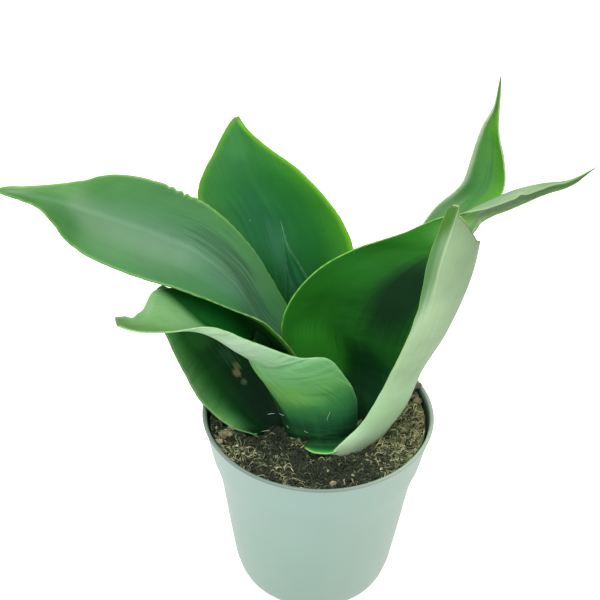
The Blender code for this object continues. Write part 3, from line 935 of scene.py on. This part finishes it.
def outer_profile():
    foot = FOOT_DIAMETER / 2
    rim = RIM_DIAMETER / 2
    return [
        (foot - 2.6, 0.0), (foot - 0.8, 0.8), (foot, 2.6), (foot + 2.0, 10.0), (foot + 4.8, 30.0),
        (foot + 8.9, SHOULDER_BOTTOM), (foot + 10.1, SHOULDER_BOTTOM + 7.0),
        (foot + 12.1, SHOULDER_BOTTOM + 15.0), (foot + 13.7, SHOULDER_BOTTOM + 20.0),
        (foot + 14.2, COLLAR_BOTTOM), (rim - 2.5, 95.0), (rim - 0.9, POT_HEIGHT - 3.6),
    ]


def inner_profile():
    inside = [(radius - WALL, height) for radius, height in outer_profile()[3:]]
    foot = FOOT_DIAMETER / 2
    return [(foot - 3.0, FLOOR), (foot - 1.2, FLOOR + 1.6)] + inside


def wall_radius(height):
    """Radius of the inside of the wall at a height."""
    radii, heights = zip(*inner_profile())
    return float(np.interp(height, heights, radii))


def spun_mesh(name, profile, steps):
    """Spin a profile, given as (radius, height) in mm, once about the Z axis."""
    shape = bmesh.new()
    points = [shape.verts.new((radius * MM, 0.0, height * MM)) for radius, height in profile]
    lines = [shape.edges.new(pair) for pair in zip(points, points[1:])]
    bmesh.ops.spin(shape, geom=points + lines, cent=(0, 0, 0), axis=(0, 0, 1), dvec=(0, 0, 0),
                   angle=2 * math.pi, steps=steps, use_merge=True, use_duplicate=False)
    bmesh.ops.remove_doubles(shape, verts=shape.verts, dist=1e-6)
    bmesh.ops.recalc_face_normals(shape, faces=shape.faces)
    return finished_mesh(name, shape)


def pot_plastic():
    """Pale green polypropylene, moulded, so it is satin with a very faint orange peel."""
    material = new_material("moulded_green_polypropylene")
    place = add(material, "TexCoord").outputs["Object"]
    parts = add(material, "SeparateXYZ", (place,))
    height = add(material, "MapRange", (parts.outputs["Z"], 0.0, POT_HEIGHT * MM))
    body = add(material, "ValToRGB", (height,), stops=(
        (0.0, "#96B7A6"), (0.9, "#A8C8BD"), (0.987, "#A8C8BD"), (0.993, "#6C8178")))
    # Faint clouds about 33 mm wide
    clouds = add(material, "TexNoise", {"Vector": place, "Scale": 30.0, "Detail": 2.0})
    clouds = add(material, "MapRange", (clouds, 0.3, 0.7, 0.0, 0.12))
    body = add(material, "Mix", {0: clouds, 6: body, 7: "#B4D0BE"}, data_type="RGBA")
    # The right side is painted lighter and warmer, as light from the right falls on it
    painted_light_right = add(material, "MapRange", (parts.outputs["X"], 5.0 * MM, 55.0 * MM, 0.0, 0.55))
    body = add(material, "Mix", {0: painted_light_right, 6: body, 7: "#BFD6BE"}, data_type="RGBA")
    # The peel of the mould is finer than this, and is drawn 1 mm wide so that it shows
    peel = add(material, "TexNoise", {"Vector": place, "Scale": 900.0, "Detail": 2.0})
    bump = add(material, "Bump", {"Strength": 0.05, "Distance": 0.0001, "Height": peel})
    return shade(material, {
        "Base Color": body, "Normal": bump, "Roughness": 0.4, "IOR": 1.49,
        "Sheen Weight": 0.25, "Sheen Roughness": 0.4})


def shaded_inner_plastic():
    """The inside of the wall, painted dark green-grey as the shade and the dark reflection of the soil that
    fill it.
    """
    material = new_material("painted_shade_inner_wall")
    place = add(material, "TexCoord").outputs["Object"]
    parts = add(material, "SeparateXYZ", (place,))
    # Blots about 4 mm wide make the edge of the painted shade uneven
    blots = add(material, "TexNoise", {"Vector": place, "Scale": 250.0, "Detail": 3.0})
    height = add(material, "Math", (blots, 2.0 * MM, parts.outputs["Z"]), operation="MULTIPLY_ADD")
    share = add(material, "MapRange", (height, (POT_HEIGHT - INNER_SHADE_DROP) * MM, (POT_HEIGHT - 1.0) * MM))
    colour = add(material, "ValToRGB", (share,), stops=(
        (0.0, "#1C3A2C"), (0.55, "#27483A"), (1.0, "#7C928C")))
    return shade(material, {"Base Color": colour, "Roughness": 0.7})


def drain_cutter():
    shape = bmesh.new()
    radius = DRAIN_HOLE_DIAMETER / 2 * MM
    for step in range(DRAIN_HOLES):
        angle = 2.0 * math.pi * step / DRAIN_HOLES
        place = Vector((math.cos(angle), math.sin(angle), 0.0)) * DRAIN_CIRCLE_RADIUS * MM
        bmesh.ops.create_cone(shape, cap_ends=True, segments=32, radius1=radius, radius2=radius,
                              depth=4.0 * FLOOR * MM, matrix=Matrix.Translation(place))
    return new_object("drain_cutter", finished_mesh("drain_cutter", shape))


def cut_mesh(mesh, cutter):
    """The mesh less the cutter, and the cutter removed."""
    body = new_object("to_cut", mesh)
    cut = body.modifiers.new("holes", "BOOLEAN")
    cut.operation = "DIFFERENCE"
    cut.solver = "EXACT"
    cut.object = cutter
    made = settled_mesh(mesh.name, body)
    bpy.data.objects.remove(cutter, do_unlink=True)
    return made


def make_pot():
    rim = RIM_DIAMETER / 2
    lip = [
        (rim - 0.5, POT_HEIGHT - 2.2), (rim - 0.15, POT_HEIGHT - 1.4), (rim, POT_HEIGHT - 0.8),
        (rim - 0.3, POT_HEIGHT - 0.25), (rim - 0.9, POT_HEIGHT), (rim - 1.5, POT_HEIGHT - 0.15),
        (rim - 2.0, POT_HEIGHT - 0.7), (rim - 2.3, POT_HEIGHT - 1.8),
    ]
    profile = [(0.0, 0.0)] + outer_profile() + lip + inner_profile()[::-1] + [(0.0, FLOOR)]
    mesh = cut_mesh(spun_mesh("pot_shell", profile, POT_STEPS), drain_cutter())
    mesh.materials.append(pot_plastic())
    mesh.materials.append(shaded_inner_plastic())
    for face in mesh.polygons:
        x, y, z = face.center / MM
        inside = math.hypot(x, y) < wall_radius(z) + WALL / 2
        if inside and FLOOR < z < POT_HEIGHT - 1.0:
            face.material_index = 1
    dress(new_object("pot_shell", mesh), "pot")


make_pot()
print("pot:", POT_STEPS, "steps round")

# %% [markdown]
# ## Soil
# Nursery soil here is peat with coir: dark damp crumbs, and over them a tangle of short fibres, a
# few chips of bark and a few grains of perlite. The bed is spun and then raised and lowered by
# noise. The rest are small meshes scattered by a seeded draw: icospheres squeezed out of round for
# the crumbs, and thin bent curves, turned into mesh, for the fibres. Hair would be lighter to draw
# but it is lost on export.

# %% Soil bed
SOIL_LEVEL = 95.0
# The soil is banked up by this much where it reaches the wall, and its edge is broken down a little
SOIL_BANK = 4.0
SOIL_REACH = 56.0
SOIL_EDGE_DROP = 3.0
CLUMP_X, CLUMP_Y, CLUMP_SPREAD, CLUMP_RISE = 49.0, 22.0, 7.0, 7.0
# Room between the soil and the pot
GAP = 0.3
SOIL_STEPS = 220
SOIL_RINGS = 70
# The bed is covered with lumps and grains of these widths
LUMP_WIDTH = 4.6
GRAIN_WIDTH = 1.6


def soil_height(x, y):
    """Uneven top of the soil in mm, with the clump that stands against the rim."""
    swell = 0.9 * math.sin(0.11 * x + 0.6) * math.cos(0.09 * y - 0.4)
    lumps = 0.8 * math.sin(0.31 * x - 0.23 * y) + 0.7 * math.cos(0.37 * y + 0.19 * x)
    distance = math.hypot(x - CLUMP_X, y - CLUMP_Y)
    clump = CLUMP_RISE * math.exp(-((distance / CLUMP_SPREAD) ** 2))
    bank = SOIL_BANK * (math.hypot(x, y) / SOIL_REACH) ** 4
    return SOIL_LEVEL + swell + lumps + clump + bank


def soil_earth():
    """Damp peat: dark brown, rough and crumbly."""
    material = new_material("damp_peat_soil")
    place = add(material, "TexCoord").outputs["Object"]
    # Grains about 2 mm wide
    grain = add(material, "TexNoise", {"Vector": place, "Scale": 500.0, "Detail": 5.0})
    colour = add(material, "ValToRGB", (grain,), stops=(
        (0.3, "#0C110A"), (0.5, "#232B1B"), (0.68, "#667050")))
    # The soil to the right has dried out
    across = add(material, "SeparateXYZ", (place,)).outputs["X"]
    dried = add(material, "MapRange", (across, 20.0 * MM, 45.0 * MM, 0.0, 0.85))
    colour = add(material, "Mix", {0: dried, 6: colour, 7: "#86855A"}, data_type="RGBA")
    bump = add(material, "Bump", {"Strength": 0.9, "Distance": 0.0012, "Height": grain})
    return shade(material, {"Base Color": colour, "Normal": bump, "Roughness": 0.95})


def place_soil(name, mesh, *materials):
    """Put a mesh with its materials in the scene as a piece of the soil."""
    for material in materials:
        mesh.materials.append(material)
    dress(new_object(name, mesh), "soil")
    print(name, len(mesh.polygons), "faces")


def make_soil_bed():
    edge_level = SOIL_LEVEL + SOIL_BANK - SOIL_EDGE_DROP
    side = [(radius - GAP, height) for radius, height in inner_profile() if height < edge_level]
    side[0] = (side[0][0], FLOOR + GAP)
    top_radius = wall_radius(edge_level) - GAP
    top_level = edge_level + 1.0
    top = [(top_radius * (1 - k / SOIL_RINGS), top_level) for k in range(SOIL_RINGS)]
    mesh = spun_mesh("soil_bed", [(0.0, FLOOR + GAP)] + side + top + [(0.0, top_level)], SOIL_STEPS)
    for vertex in mesh.vertices:
        x, y, z = vertex.co / MM
        if z > edge_level + 0.5:
            lumps = 2.4 * noise.noise(Vector((x, y, 0.0)) / LUMP_WIDTH)
            grains = 1.2 * noise.noise(Vector((x, y, 9.0)) / GRAIN_WIDTH)
            vertex.co.z = (soil_height(x, y) + (lumps + grains)) * MM
    place_soil("soil_bed", mesh, soil_earth())
    return top_radius


SOIL_RADIUS = make_soil_bed()

# %% [markdown]
# ## Crumbs and fibres
# Litter is kept off the leaves by a tree of their points near the soil. Fibres come in three tones,
# one mesh for each, and a rough map of how dry the soil is, with painted shade of the leaves in it,
# decides which tone a fibre gets.

# %% Soil crumbs and fibres
SEED = 27
# How far litter stays from the leaves' middle faces, and fibres from them and from the wall
LITTER_ROOM = 2.6
FIBRE_ROOM = 1.8
WALL_ROOM = 0.6
# A real fibre is about half as thick: drawn coarser to be seen at this size
FIBRE_THICK = 0.5
FIBRE_COUNT = 5000
FIBRE_LENGTH = (2.5, 9.0)
FIBRE_STEPS = 6
# Spread of a fibre's even curl and of its bends, in radians a step, and how far its middle rises
FIBRE_CURL = 0.22
FIBRE_BEND = 0.3
FIBRE_LIFT = (-0.4, 1.6)
THREAD_THICK = 0.3
THREAD_STEPS = 4
THREAD_BEND = 0.15
# A crumb is turned by up to this many radians about each axis
FULL_TURN = 6.3
# Dents of the crumbs, about 1 mm wide, and of the lumps, 2 mm: noise per metre, and share of the size
CRUMB_DENTS = (900.0, 0.18)
LUMP_DENTS = (500.0, 0.2)
# How much a crumb or a lump may be squeezed along its three axes
CRUMB_SQUEEZE = ((0.6, 1.3), (0.6, 1.3), (0.5, 1.0))
LUMP_SQUEEZE = (1.2, 0.8, 0.7)
# The oval of soil under the front right leaf's lip
LIP_X, LIP_Y, LIP_LENGTH, LIP_WIDTH = 3.0, -19.0, 9.5, 7.5
# Where the soil is drier (more than 0) or darker: x, y and spread in mm, and how much. The dark
# spots at 14, -37 and -26, -14 are painted shadow of the leaves.
SOIL_SPOTS = (
    (14.0, -37.0, 16.0, -0.9), (-26.0, -14.0, 12.0, -0.6), (-17.0, -25.0, 8.0, -0.7),
    (42.0, -12.0, 11.0, 0.6), (18.0, -48.0, 6.0, 0.7), (-37.0, -29.0, 6.0, 0.5), (50.0, 25.0, 10.0, 0.4),
)
# The larger lumps, which lie in the gap on the left and on the clump: x, y and size in mm
BARK_LUMPS = ((-47.0, -15.5, 5.6), (-49.5, -21.0, 3.8), (-44.5, -11.0, 3.4), (-40.0, -26.0, 3.0))
PEAT_LUMPS = (
    (50.5, 21.5, 5.5), (47.0, 25.5, 4.5), (52.5, 15.0, 4.5), (48.0, 18.0, 4.0), (53.0, 24.0, 3.5),
)
# Pale threads caught on the feet of the front leaves and on the back leaf: both ends, in mm
THREADS = (
    ((-26.5, 0.6, 100.4), (-22.6, 1.2, 100.8)), ((-19.8, -5.8, 106.6), (-17.2, -6.8, 106.4)),
    ((-16.0, -8.2, 101.2), (-14.8, -8.8, 100.2)), ((-6.9, -13.8, 102.9), (-4.8, -14.2, 102.0)),
    ((4.7, -14.9, 111.5), (6.0, -15.3, 118.2)), ((-32.2, -11.7, 97.6), (-31.0, -12.0, 97.9)),
    ((-28.8, -10.6, 98.2), (-24.4, -8.6, 97.8)), ((-39.7, 55.9, 184.6), (-39.2, 55.9, 183.8)),
)


def plant_litter(name, code, variation):
    """Dry plant matter: rough and dull, with a tone that changes over about 4 mm."""
    material = new_material(name)
    place = add(material, "TexCoord").outputs["Object"]
    patches = add(material, "TexNoise", {"Vector": place, "Scale": 260.0, "Detail": 3.0})
    tone = add(material, "MapRange", (patches, 0.3, 0.7, 1.0 - variation, 1.0 + variation))
    return shade(material, {"Base Color": toned(material, code, tone), "Roughness": 0.9})


def leaf_feet():
    """A tree of the leaf points between the soil and the rim, so that litter can be kept off them."""
    low, high = SOIL_LEVEL - 5.0, POT_HEIGHT
    everywhere = np.concatenate([surface.reshape(-1, 3) for surface in SURFACES.values()])
    points = [point for point in everywhere if low < point[2] < high]
    tree = kdtree.KDTree(len(points))
    for number, point in enumerate(points):
        tree.insert(Vector(point), number)
    tree.balance()
    return tree


LEAF_FEET = leaf_feet()


def is_clear(x, y, z, room):
    """Whether a spot is off the blades and off the lip of the front right leaf."""
    on_lip = ((x - LIP_X) / LIP_LENGTH) ** 2 + ((y - LIP_Y) / LIP_WIDTH) ** 2 < 1.0
    return not on_lip and LEAF_FEET.find(Vector((x, y, z)))[2] > room


def open_ground(draw, reach):
    """A random spot on the open soil, in mm."""
    while True:
        angle = draw.uniform(0.0, 2.0 * math.pi)
        radius = reach * math.sqrt(draw.random())
        x, y = radius * math.cos(angle), radius * math.sin(angle)
        if is_clear(x, y, soil_height(x, y) + 1.0, LITTER_ROOM):
            return x, y


def on_soil(x, y, rise):
    """A matrix that moves a shape to its place, some mm over the soil."""
    return Matrix.Translation(Vector((x, y, soil_height(x, y) + rise)) * MM)


def add_lump(shape, place, size, rounds, dents):
    """Add a dented ball of a size in mm."""
    scale, depth = dents
    made = bmesh.ops.create_icosphere(shape, subdivisions=rounds, radius=size / 2 * MM, matrix=place)
    for vertex in made["verts"]:
        vertex.co += noise.noise_vector(vertex.co * scale) * size * depth * MM
    return made["verts"]


def make_crumbs(name, count, sizes, materials, weights, draw, rounds=1):
    """Scatter squeezed and dented balls over the soil."""
    shape = bmesh.new()
    for number in range(count):
        size = draw.uniform(*sizes)
        x, y = open_ground(draw, SOIL_RADIUS - size)
        turn = Euler([draw.uniform(0.0, FULL_TURN) for axis in range(3)]).to_matrix().to_4x4()
        squeeze = Matrix.Diagonal([draw.uniform(*limits) for limits in CRUMB_SQUEEZE]).to_4x4()
        crumb = add_lump(shape, on_soil(x, y, 0.25 * size) @ turn @ squeeze, size, rounds, CRUMB_DENTS)
        kind = draw.choices(range(len(materials)), weights)[0]
        for vertex in crumb:
            for face in vertex.link_faces:
                face.material_index = kind
    place_soil(name, finished_mesh(name, shape), *materials)


def make_lumps(name, places, material):
    """Bigger dented lumps where the eye finds them. A place is x, y and size in mm."""
    shape = bmesh.new()
    squeeze = Matrix.Diagonal(LUMP_SQUEEZE).to_4x4()
    for x, y, size in places:
        add_lump(shape, on_soil(x, y, 0.35 * size) @ squeeze, size, 3, LUMP_DENTS)
    place_soil(name, finished_mesh(name, shape), material)


def fibre_points(draw, x, y, length):
    """A bent strand that lies on the lumps of the soil or sticks out of them a little."""
    heading = draw.uniform(0.0, 2.0 * math.pi)
    curl = draw.gauss(0.0, FIBRE_CURL)
    lift = draw.uniform(*FIBRE_LIFT)
    points = []
    for step in range(FIBRE_STEPS):
        if not is_clear(x, y, soil_height(x, y) + 1.5, FIBRE_ROOM):
            break
        share = step / (FIBRE_STEPS - 1)
        lump = 1.6 * noise.noise(Vector((x, y, 0.0)) / LUMP_WIDTH)
        height = soil_height(x, y) + 0.7 + lump + lift * math.sin(math.pi * share) + draw.uniform(-0.5, 0.5)
        points.append((x, y, height))
        heading += curl + draw.gauss(0.0, FIBRE_BEND)
        x += length / FIBRE_STEPS * math.cos(heading)
        y += length / FIBRE_STEPS * math.sin(heading)
        reach = math.hypot(x, y)
        if reach > SOIL_RADIUS - WALL_ROOM:
            x, y = x * (SOIL_RADIUS - WALL_ROOM) / reach, y * (SOIL_RADIUS - WALL_ROOM) / reach
    return points


def place_strands(name, strands, thick, material):
    """Thin four-sided strands. A strand is its points in mm and its share of the thickness."""
    curve = bpy.data.curves.new(name, "CURVE")
    curve.dimensions = "3D"
    curve.bevel_depth = thick / 2 * MM
    curve.bevel_resolution = 0
    curve.use_fill_caps = True
    for points, share in strands:
        spline = curve.splines.new("POLY")
        spline.points.add(len(points) - 1)
        for number, (point, place) in enumerate(zip(spline.points, points)):
            point.co = (*(Vector(place) * MM), 1.0)
            point.radius = share * (0.5 if number in (0, len(points) - 1) else 1.0)
    place_soil(name, settled_mesh(name, new_object(name, curve)), material)


def dryness_and_shade(x, y):
    """How dry the soil is at a place, 0 to 1, lowered where shade of the leaves is painted: drier towards
    the rim.
    """
    dry = 0.2 + 0.008 * abs(x) + 0.005 * x + 0.9 * noise.noise(Vector((x, y, 5.0)) / 9.0)
    for spot_x, spot_y, spread, more in SOIL_SPOTS:
        dry += more * math.exp(-((x - spot_x) ** 2 + (y - spot_y) ** 2) / spread ** 2)
    return min(max(dry, 0.0), 0.9)


def make_fibres(count, tones, draw):
    """Coir: dark where it is wet and in the painted shade of the leaves, and olive or tan where it has
    dried.
    """
    strands = [[] for tone in tones]
    for number in range(count):
        x, y = open_ground(draw, SOIL_RADIUS - 1.0)
        # dry is lowered by the painted shade of the leaves, so fibres there are darker
        dry = dryness_and_shade(x, y)
        kind = draw.choices((0, 1, 2), (1.0 - 0.8 * dry, 0.05 + 0.7 * dry, 0.6 * dry))[0]
        points = fibre_points(draw, x, y, draw.uniform(*FIBRE_LENGTH))
        if len(points) > 3:
            strands[kind].append((points, draw.uniform(0.45, 1.3)))
    for (name, material), tone_strands in zip(tones, strands):
        place_strands(name, tone_strands, FIBRE_THICK, material)


def make_threads(draw):
    strands = []
    for start, end in THREADS:
        points = []
        for step in range(THREAD_STEPS + 1):
            bend = Vector([draw.uniform(-THREAD_BEND, THREAD_BEND) for axis in range(3)])
            points.append(Vector(start).lerp(Vector(end), step / THREAD_STEPS) + bend)
        strands.append((points, draw.uniform(0.7, 1.3)))
    place_strands("pale_threads", strands, THREAD_THICK, plant_litter("dusty_white_thread", "#C4D6C2", 0.1))


DRAW = random.Random(SEED)
# The noise that dents the crumbs would start from the clock if it had no seed
noise.seed_set(SEED)
DARK_CRUMB = plant_litter("dark_peat_crumb", "#181E14", 0.4)
OLIVE_CRUMB = plant_litter("olive_peat_crumb", "#525A3C", 0.35)
BARK_CHIP = plant_litter("tan_bark_chip", "#A39B78", 0.25)
make_crumbs("soil_crumbs", 600, (1.0, 2.6), (DARK_CRUMB, OLIVE_CRUMB, BARK_CHIP), (5, 3, 0.4), DRAW)
make_crumbs("bark_chips", 16, (2.4, 4.2), (OLIVE_CRUMB, BARK_CHIP), (1, 1), DRAW, rounds=2)
make_crumbs("perlite_grains", 14, (1.0, 1.8), (plant_litter("white_perlite", "#E4E6DC", 0.1),), (1,), DRAW)
FIBRES = (
    ("dark_fibres", plant_litter("dark_coir_fibre", "#343C2C", 0.4)),
    ("olive_fibres", plant_litter("olive_coir_fibre", "#7C8664", 0.4)),
    ("tan_fibres", plant_litter("tan_coir_fibre", "#BEBA8A", 0.3)),
)
make_lumps("bleached_bark_lumps", BARK_LUMPS, plant_litter("bleached_bark", "#8E8766", 0.5))
make_lumps("dry_peat_lumps", PEAT_LUMPS, plant_litter("dry_peat", "#6E6850", 0.8))
make_fibres(FIBRE_COUNT, FIBRES, DRAW)
make_threads(DRAW)
